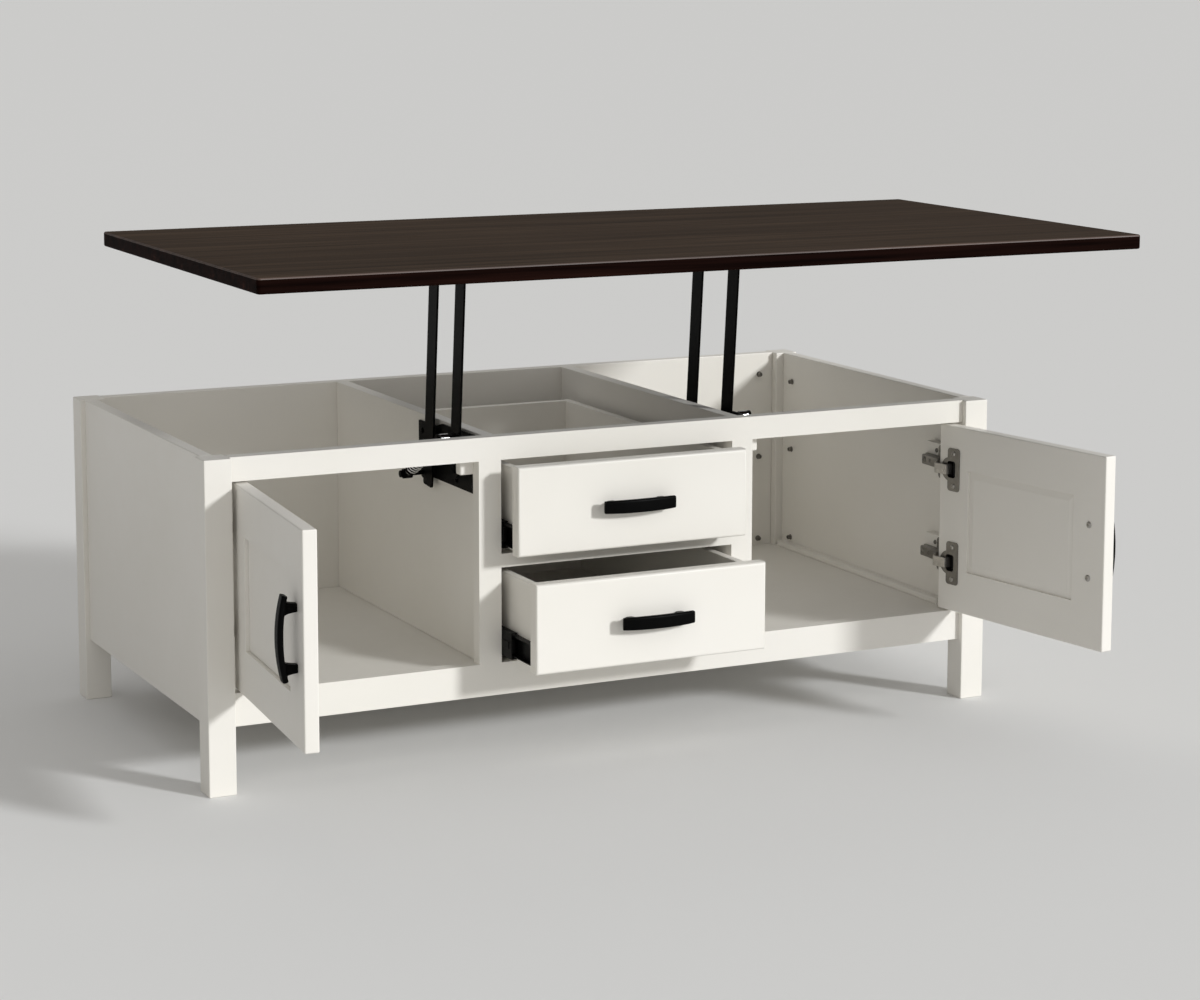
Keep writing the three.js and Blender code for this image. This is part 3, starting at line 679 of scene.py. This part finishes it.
def add_corner_blocks():
    """Glue blocks behind the top rail at the dividers, and cleats on the floor along the side panels."""
    rail_low, rail_high = node_box("top_rail")
    floor_low, floor_high = node_box("floor_panel")
    for side_name, side in SIDES.items():
        divider = node_box(f"divider_{side_name}")
        face = max(abs(divider[0].x), abs(divider[1].x))
        low = (face, rail_high.y, rail_low.z - BLOCK_DROP)
        block = eased_block(low, [l + s for l, s in zip(low, BLOCK)], BLOCK_EASE)
        place = Matrix.Scale(side, 4, (1, 0, 0))
        make(f"corner_block_{side_name}", block, WHITE, "carcass", place=place)
        panel = node_box(f"side_panel_{side_name}")
        inner = min(abs(panel[0].x), abs(panel[1].x))
        cleat = eased_block(
            (inner - CLEAT[0], rail_high.y + CLEAT_ENDS[0], floor_high.z),
            (inner, panel[1].y - CLEAT_ENDS[1], floor_high.z + CLEAT[1]),
            CLEAT_EASE,
        )
        make(f"floor_cleat_{side_name}", cleat, WHITE, "carcass", place=place)


def connector_bolt():
    """A round socket-headed connector, standing out along Z."""
    head = turned(BOLT_PROFILE, 24)
    washer = rod(BOLT_WASHER[0], 0, BOLT_WASHER[1], 0.3)
    return joined(washer, head)


def add_connectors():
    back_low, back_high = node_box("back_panel")
    for side_name, side in SIDES.items():
        panel = node_box(f"side_panel_{side_name}")
        inner = min(abs(panel[0].x), abs(panel[1].x))
        for k, z in enumerate(SIDE_BOLT_Z):
            place = Matrix.Translation((side * inner, back_low.y - SIDE_BOLT_FROM_BACK, z)) @ along_x(-side)
            name = f"side_connector_{side_name}_{k}"
            make(name, connector_bolt(), STEEL, "carcass", place=place)
        for k, z in enumerate(BACK_BOLT_Z):
            place = Matrix.Translation((side * BACK_BOLT_X, back_low.y, z)) @ ALONG_MINUS_Y
            name = f"back_connector_{side_name}_{k}"
            make(name, connector_bolt(), STEEL, "carcass", place=place)


# ---- tabletop ----
def add_tabletop():
    low, high = node_box("tabletop")
    size, middle = high - low, (high + low) / 2
    outline = rounded_rect(size.x, size.y, TOP_CORNER, steps=6)
    board = plate(outline, low.z, high.z, TOP_EASE, steps=4)
    place = Matrix.Translation((middle.x, middle.y, 0))
    top = make("tabletop_board", board, TOP_WOOD, "top", ["tabletop"], place)
    top.data.materials.append(SHADED_EDGE_WOOD)
    top.data.materials.append(ARRIS_HIGHLIGHT_WOOD)
    for face in top.data.polygons:
        # side and under faces: wood painted darker as shade
        if face.normal.z < ARRIS_TILT[0]:
            face.material_index = 1
        # upper arris: wood painted lighter as a highlight
        elif face.normal.z < ARRIS_TILT[1]:
            face.material_index = 2


# ---- handles ----
def handle_mesh():
    """A bow on two flared posts, cast in one piece: length along X, standing out along Z."""
    rings = []
    for k in range(HANDLE_STATIONS + 1):
        u = -HANDLE_HALF + 2 * HANDLE_HALF * k / HANDLE_STATIONS
        share = abs(u) / HANDLE_HALF
        crown = HANDLE_OUT - HANDLE_RISE * share * share
        thick = BOW - share
        width = BOW_WIDTH - 1.5 * share ** 3
        slope = -2 * HANDLE_RISE * u / HANDLE_HALF ** 2
        outline = rounded_rect(thick, width, BOW_ROUND)(0)
        rings.append([(u - slope * v, w, crown - thick / 2 + v) for v, w in outline])
    bow = loft(rings)
    posts = []
    for sign in (-1, 1):
        post_rings = [
            [(sign * HANDLE_CENTRES / 2 + u, w, v) for u, w in rounded_rect(length, width, 2)(0)]
            for v, length, width in POST_PROFILE
        ]
        posts.append(loft(post_rings))
    obj = temporary(to_bmesh(joined(bow, *posts)))
    remesh = obj.modifiers.new("cast", "REMESH")
    remesh.mode, remesh.voxel_size = "VOXEL", HANDLE_VOXEL
    smooth = obj.modifiers.new("fillets", "SMOOTH")
    smooth.factor, smooth.iterations = 0.5, 4
    bm = bmesh.new()
    bm.from_object(obj, bpy.context.evaluated_depsgraph_get())
    bpy.data.objects.remove(obj)
    for vert in bm.verts:
        vert.co.z = max(vert.co.z, 0)
    return bm


def add_handles():
    cast = handle_mesh()
    for level in ("upper", "lower"):
        low, high = node_box(f"drawer_front_{level}")
        place = Matrix.Translation((0, low.y, (low.z + high.z) / 2)) @ ALONG_MINUS_Y
        name = f"drawer_handle_{level}"
        make(f"cast_{name}", cast.copy(), HANDLE_BLACK, f"{level}_drawer", [name], place)
    upright = ALONG_MINUS_Y @ Matrix.Rotation(math.pi / 2, 4, "Z")
    for side_name, side in SIDES.items():
        x = -side * (DOOR_WIDTH - PIN_FROM_EDGE - HANDLE_FROM_EDGE)
        local = Matrix.Translation((x, DOOR_Y[0], sum(DOOR_Z) / 2)) @ upright
        name = f"door_handle_{side_name}"
        place = door_place(side_name) @ local
        make(f"cast_{name}", cast.copy(), HANDLE_BLACK, f"{side_name}_door", [name], place)
    cast.free()


def round_screw(radius=4):
    """A domed head with a cross recess, standing out along Z."""
    rim, crown = 0.6, 1.6
    dome = [(radius, 0), (radius, rim)]
    for turn in (20, 40, 60, 80):
        angle = math.radians(turn)
        dome.append((radius * math.cos(angle), rim + crown * math.sin(angle)))
    slots = [
        eased_block((-2, -0.45, 0.9), (2, 0.45, 4), 0.1),
        eased_block((-0.45, -2, 0.9), (0.45, 2, 4), 0.1),
    ]
    return carved(to_bmesh(turned(dome, 24)), *slots)


# ---- doors ----
def add_doors():
    middle_z = sum(DOOR_Z) / 2
    for side_name, side in SIDES.items():
        place, body = door_place(side_name), f"{side_name}_door"
        edges = sorted([side * PIN_FROM_EDGE, side * (PIN_FROM_EDGE - DOOR_WIDTH)])
        xs = [edges[0], edges[0] + DOOR_MEMBER, edges[1] - DOOR_MEMBER, edges[1]]
        zs = [DOOR_Z[0], DOOR_Z[0] + DOOR_MEMBER, DOOR_Z[1] - DOOR_MEMBER, DOOR_Z[1]]
        bm = to_bmesh(grid_plate(xs, zs, {(1, 1)}, DOOR_Y))
        inside = DOOR_MEMBER / 2

        def opening(edge):
            reach = (DOOR_WIDTH / 2 - inside, (zs[3] - zs[0]) / 2 - inside)
            middle = ((xs[0] + xs[3]) / 2, middle_z)
            offsets = [(abs(v.co.x - middle[0]), abs(v.co.z - middle[1])) for v in edge.verts]
            return all(x < reach[0] and z < reach[1] for x, z in offsets)

        def outer_opening(edge):
            return opening(edge) and all(v.co.y < DOOR_Y[0] + 0.1 for v in edge.verts)

        ease_edges(bm, OPENING_CHAMFER, outer_opening, segments=1)
        ease_edges(bm, OPENING_EASE, opening, segments=2)
        ease_edges(bm, DOOR_EASE, lambda edge: not opening(edge), segments=4)
        cup_x = side * (PIN_FROM_EDGE - CUP_FROM_EDGE)
        bores = []
        for z in LEVELS.values():
            bottom = Matrix.Translation((cup_x, DOOR_Y[1] - CUP_DEPTH - CUP_SLACK, z)) @ ALONG_Y
            bores.append(moved(rod(CUP_R + CUP_SLACK, 0, CUP_DEPTH + 5, 0.1, ROUND), bottom))
        frame_name = f"door_frame_{side_name}"
        make(f"painted_{frame_name}", carved(bm, *bores), WHITE, body, [frame_name], place)

        width, fall = PANEL_SLOPE
        rings = []
        groove, sunk = PANEL_GROOVE
        profile = [
            (width, PANEL_Y[1]),
            (0, PANEL_Y[1] - fall),
            (0, PANEL_Y[0] + sunk),
            (groove, PANEL_Y[0]),
        ]
        for inset, y in profile:
            trim = inset - PANEL_TUCK
            x0, x1, z0, z1 = xs[1] + trim, xs[2] - trim, zs[1] + trim, zs[2] - trim
            rings.append([(x0, y, z0), (x1, y, z0), (x1, y, z1), (x0, y, z1)])
        panel_name = f"door_panel_{side_name}"
        panel = make(f"painted_{panel_name}", loft(rings), WHITE, body, [panel_name], place)
        panel.data.set_sharp_from_angle(angle=math.radians(PANEL_CRISP))

        handle_x = -side * (DOOR_WIDTH - PIN_FROM_EDGE - HANDLE_FROM_EDGE)
        for k, offset in enumerate((-HANDLE_CENTRES / 2, HANDLE_CENTRES / 2)):
            local = Matrix.Translation((handle_x, DOOR_Y[1], middle_z + offset)) @ ALONG_Y
            screw = round_screw(HANDLE_SCREW_R)
            make(f"handle_screw_{side_name}_{k}", screw, NICKEL_AND_LINK_LIGHT, body, place=place @ local)


# ---- hinges ----
def add_hinges():
    for side_name, side in SIDES.items():
        for level, z in LEVELS.items():
            add_hinge_cup(side_name, side, level, z)
            add_hinge_link(side_name, side, level, z)
            add_hinge_mount(side_name, side, level, z)


def add_hinge_cup(side_name, side, level, z):
    """Pressed cup and screwed flange, let into the door."""
    place, body = door_place(side_name), f"{side_name}_door"
    cup_x = side * (PIN_FROM_EDGE - CUP_FROM_EDGE)
    away = -side  # towards the free edge
    at = Matrix.Translation((cup_x, DOOR_Y[1], z)) @ ALONG_Y  # local X runs to -X
    flange = plate(rounded_rect(FLANGE[0], FLANGE[1], 5), 0.1, FLANGE[2], 0.4)
    flange = moved(flange, Matrix.Translation((-away * FLANGE_SHIFT, 0, 0)))
    rim = turned([(CUP_R - 1.5, 0.5 - CUP_DEPTH), (CUP_R, 2 - CUP_DEPTH), (CUP_R, 0.9), (CUP_R - 0.5, 1.2)])
    mouth = eased_block((-MOUTH[0] / 2, -MOUTH[1] / 2, 2 - CUP_DEPTH), (MOUTH[0] / 2, MOUTH[1] / 2, 6), 2, 4)
    mouth = moved(mouth, Matrix.Translation((-away * MOUTH_SHIFT, 0, 0)))
    name = f"hinge_cup_{side_name}_{level}"
    for label, shape, stands_for in (("flange", flange, [name]), ("bowl", rim, [])):
        bm = carved(to_bmesh(shape), mouth)
        make(f"{name}_{label}", bm, STEEL, body, stands_for, place @ at)
    # Dark block at the cup's bottom as painted shade, joined with the spring bar into one dark piece
    half_wide, half_high = CUP_SHADE_BLOCK[0] / 2, CUP_SHADE_BLOCK[1] / 2
    bottom, top = (z_in - CUP_DEPTH for z_in in CUP_SHADE_BLOCK_Z)
    shade_block = eased_block((-half_wide, -half_high, bottom), (half_wide, half_high, top), 0.8)
    shade_block = moved(shade_block, Matrix.Translation((-away * MOUTH_SHIFT, 0, 0)))
    bar_at = Matrix.Translation((-away * SPRING_BAR_AT[0], 0, SPRING_BAR_AT[1]))
    bar = rod(SPRING_BAR[0], -SPRING_BAR[1] / 2, SPRING_BAR[1] / 2, 0.3, 16)
    bar = moved(bar, bar_at @ ALONG_MINUS_Y)
    make(f"{name}_spring", joined(shade_block, bar), DARK_PLASTIC, body, place=place @ at)
    for k, offset in enumerate((-SCREW_SPAN, SCREW_SPAN)):
        spot = at @ Matrix.Translation((-away * FLANGE_SHIFT, offset, FLANGE[2] - 0.3))
        make(f"{name}_screw_{k}", round_screw(3.8), NICKEL_AND_LINK_LIGHT, body, place=place @ spot)


def add_hinge_link(side_name, side, level, z):
    """The link from the arm into the cup bends across the hinge pin, as the real linkage does."""
    place = door_place(side_name)
    pin = Vector(joint(f"{side_name}_door_hinge")["pos_m"]) / MM
    inner_end = place @ Vector((side * (PIN_FROM_EDGE - CUP_FROM_EDGE - 0.5), DOOR_Y[1] - 5, z))
    over_cup = place @ Vector((side * (PIN_FROM_EDGE - CUP_FROM_EDGE + 1), DOOR_Y[1] + 6.5, z))
    over_edge = place @ Vector((side * (PIN_FROM_EDGE + 1), DOOR_Y[1] + 8, z))
    arm_end = Vector((side * LINK_ARM_END[0], pin.y + LINK_ARM_END[1], z))
    path = [arm_end, over_edge, over_cup, inner_end]
    points = []
    for a, b in zip(path, path[1:]):
        points += [a.lerp(b, s / 6) for s in range(6)]
    points.append(path[-1])
    rings = []
    for k, point in enumerate(points):
        ahead = (points[min(k + 1, len(points) - 1)] - points[max(k - 1, 0)]).normalized()
        across = Vector((-ahead.y, ahead.x, 0))
        outline = rounded_rect(*LINK, 0.7, 3)(0)
        rings.append([point + across * v + Vector((0, 0, w)) for v, w in outline])
    # The link takes the brighter plating as painted light, lighter than the hinge steel.
    link = make(f"hinge_link_{side_name}_{level}", loft(rings), NICKEL_AND_LINK_LIGHT, None)
    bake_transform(link)


def add_hinge_mount(side_name, side, level, z):
    """Packing block, cross plate with slotted wings, and the clip-on arm with its screws."""
    name = f"hinge_mount_{side_name}_{level}"
    mirror = Matrix.Scale(side, 4, (1, 0, 0))
    low, high = node_box(f"side_panel_{side_name}")
    wall = min(abs(low.x), abs(high.x))
    front, back = MOUNT_Y
    face = wall - PACKING
    packing = eased_block((face, front + 7, z - PACKING_HALF), (wall, back + 6, z + PACKING_HALF), 1)
    make(f"{name}_packing", packing, WHITE, "carcass", place=mirror)

    lift = Matrix.Translation((face, 0, z)) @ along_x(-1)  # local X runs to -Y, Y to Z, Z to the middle
    wing = plate(rounded_rect(WING[0], WING[1], 6), 0, WING[2], 0.4)
    wing = moved(wing, Matrix.Translation((-WING_Y, 0, 0)))
    slot = eased_block((-2.2, -4.5, -1), (2.2, 4.5, 4), 0.3, 2.1)
    slots = [moved(slot, Matrix.Translation((-WING_Y, offset, 0))) for offset in (-WING_SLOT, WING_SLOT)]
    cross = carved(to_bmesh(wing), *slots)
    make(f"{name}_wings", cross, STEEL, "carcass", [name], mirror @ lift)

    base = eased_block((-back - 4, -8, 0), (-front - 6, 8, 4), 0.8, 2)
    arm_rings = []
    for y, low_z, high_z, half in ARM_PROFILE:
        outline = rounded_rect(high_z - low_z, 2 * half, 1.6, 3)(0)
        arm_rings.append([(-y, w, (low_z + high_z) / 2 + v) for v, w in outline])
    knuckle = rod(KNUCKLE[0], -KNUCKLE[1] / 2, KNUCKLE[1] / 2, 0.5)
    knuckle = moved(knuckle, Matrix.Translation((KNUCKLE_AT[0], 0, KNUCKLE_AT[1])) @ ALONG_MINUS_Y)
    arm = joined(base, loft(arm_rings), knuckle)
    make(f"{name}_arm", arm, STEEL, "carcass", place=mirror @ lift)

    for k, (y, offset, height, radius) in enumerate(MOUNT_SCREWS):
        spot = lift @ Matrix.Translation((-y, offset, height))
        make(f"{name}_screw_{k}", round_screw(radius), STEEL, "carcass", place=mirror @ spot)


# ---- drawers ----
def add_drawers():
    for level in ("upper", "lower"):
        body = f"{level}_drawer"
        name = f"drawer_front_{level}"
        low, high = node_box(name)
        bm = from_node(name)
        ease_edges(bm, FRONT_EASE, lambda e: all(v.co.y < low.y + 0.1 for v in e.verts), segments=4)
        ease_edges(bm, BOX_EASE)
        make(f"painted_{name}", bm, WHITE, body, [name])
        name = f"drawer_box_{level}"
        bm = from_node(name)
        ease_edges(bm, BOX_EASE, segments=2)
        make(f"painted_{name}", bm, WHITE, body, [name])


def add_slides():
    """The slide members keep their CAD shape; each gets a pressed rib and a stop."""
    for level in ("upper", "lower"):
        for side_name, side in SIDES.items():
            for member in ("outer", "middle", "inner"):
                node = frame["nodes"][f"slide_{member}_{level}_{side_name}"]
                node.data.materials.clear()
                node.data.materials.append(SLIDE_BLACK)
            low, high = node_box(f"slide_middle_{level}_{side_name}")
            outer = max(abs(low.x), abs(high.x))
            z = (low.z + high.z) / 2
            start = low.y + STOP_START
            rib_ends = (outer - 0.3, start, z - RIB_HALF), (outer + 1.2, start + RIB_LENGTH, z + RIB_HALF)
            stop_ends = (outer - 6, low.y - 0.8, z - STOP_HALF), (outer - 1, start, z + STOP_HALF)
            rib = eased_block(*rib_ends, 0.5, 0.7)
            stop = eased_block(*stop_ends, 0.8)
            mirror = Matrix.Scale(side, 4, (1, 0, 0))
            name = f"slide_stop_{level}_{side_name}"
            make(name, joined(rib, stop), SLIDE_BLACK, f"{level}_slide_middles", place=mirror)


# ---- lifting mechanism ----
def add_mechanism():
    groups = {
        "lift_base": "carcass",
        "rear_arm": "rear_arms",
        "front_arm": "front_arms",
        "top_bracket": "top",
        "strut_rod": "strut_rods",
        "strut_tube": "strut_tubes",
    }
    for side_name in SIDES:
        for part, body in groups.items():
            node = f"{part}_{side_name}"
            finish = CHROME if part == "strut_rod" else MECHANISM_BLACK
            bm = from_node(node)
            ease_edges(bm, METAL_EASE, segments=2)
            make(f"finished_{node}", bm, finish, body, [node])


def add_springs():
    """A compression spring round each strut, and the black sleeve and chrome tip at its lower end."""
    start = Vector(joint("strut_pivot")["pos_m"]) / MM
    away = Vector(joint("strut_slide")["axis"]).normalized()
    if away.y < 0:
        away = -away
    across = Vector((1, 0, 0))
    other = away.cross(across)
    first, last = SPRING_SPAN
    steps = SPRING_TURNS * 20
    along_strut = away.to_track_quat("Z", "X").to_matrix().to_4x4()
    for side_name, side in SIDES.items():
        base = Vector((side * STRUT_X, start.y, start.z))
        path = []
        for k in range(steps + 1):
            angle = 2 * math.pi * SPRING_TURNS * k / steps
            spot = base + away * (first + (last - first) * k / steps)
            path.append(spot + SPRING_R * (across * math.cos(angle) + other * math.sin(angle)))
        coil = make(f"strut_spring_{side_name}", sweep(path, WIRE_R, 8), CHROME, None)
        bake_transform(coil)
        place = Matrix.Translation(base) @ along_strut
        sleeve = rod(SLEEVE_R, last - SLEEVE_LENGTH, last, 0.8)
        make(f"strut_sleeve_{side_name}", sleeve, DARK_PLASTIC, "strut_tubes", place=place)
        tip = rod(TIP_R, last + TIP_Z[0], last + TIP_Z[1], 0.6)
        make(f"strut_tip_{side_name}", tip, CHROME, "strut_tubes", place=place)


def add_mechanism_screws():
    """Screws that hold each base plate to its divider."""
    for side_name, side in SIDES.items():
        low, high = node_box(f"lift_base_{side_name}")
        inner = min(abs(low.x), abs(high.x)) + BASE_THICKNESS
        for k, (y_in, z_in) in enumerate(BASE_SCREWS):
            y = y_in + (high.y if y_in < 0 else low.y)
            z = z_in + (high.z if z_in < 0 else low.z)
            place = Matrix.Translation((side * inner, y, z)) @ along_x(side)
            screw = round_screw(BASE_SCREW_R)
            name = f"base_screw_{side_name}_{k}"
            make(name, screw, MECHANISM_BLACK, "carcass", place=place)


add_camera()
add_light()
add_floor()
bpy.context.scene.view_settings.view_transform = "Standard"

add_cabinet()
add_face_frame()
add_corner_blocks()
add_connectors()
add_tabletop()
add_handles()
add_doors()
add_hinges()
add_drawers()
add_slides()
add_mechanism()
add_springs()
add_mechanism_screws()
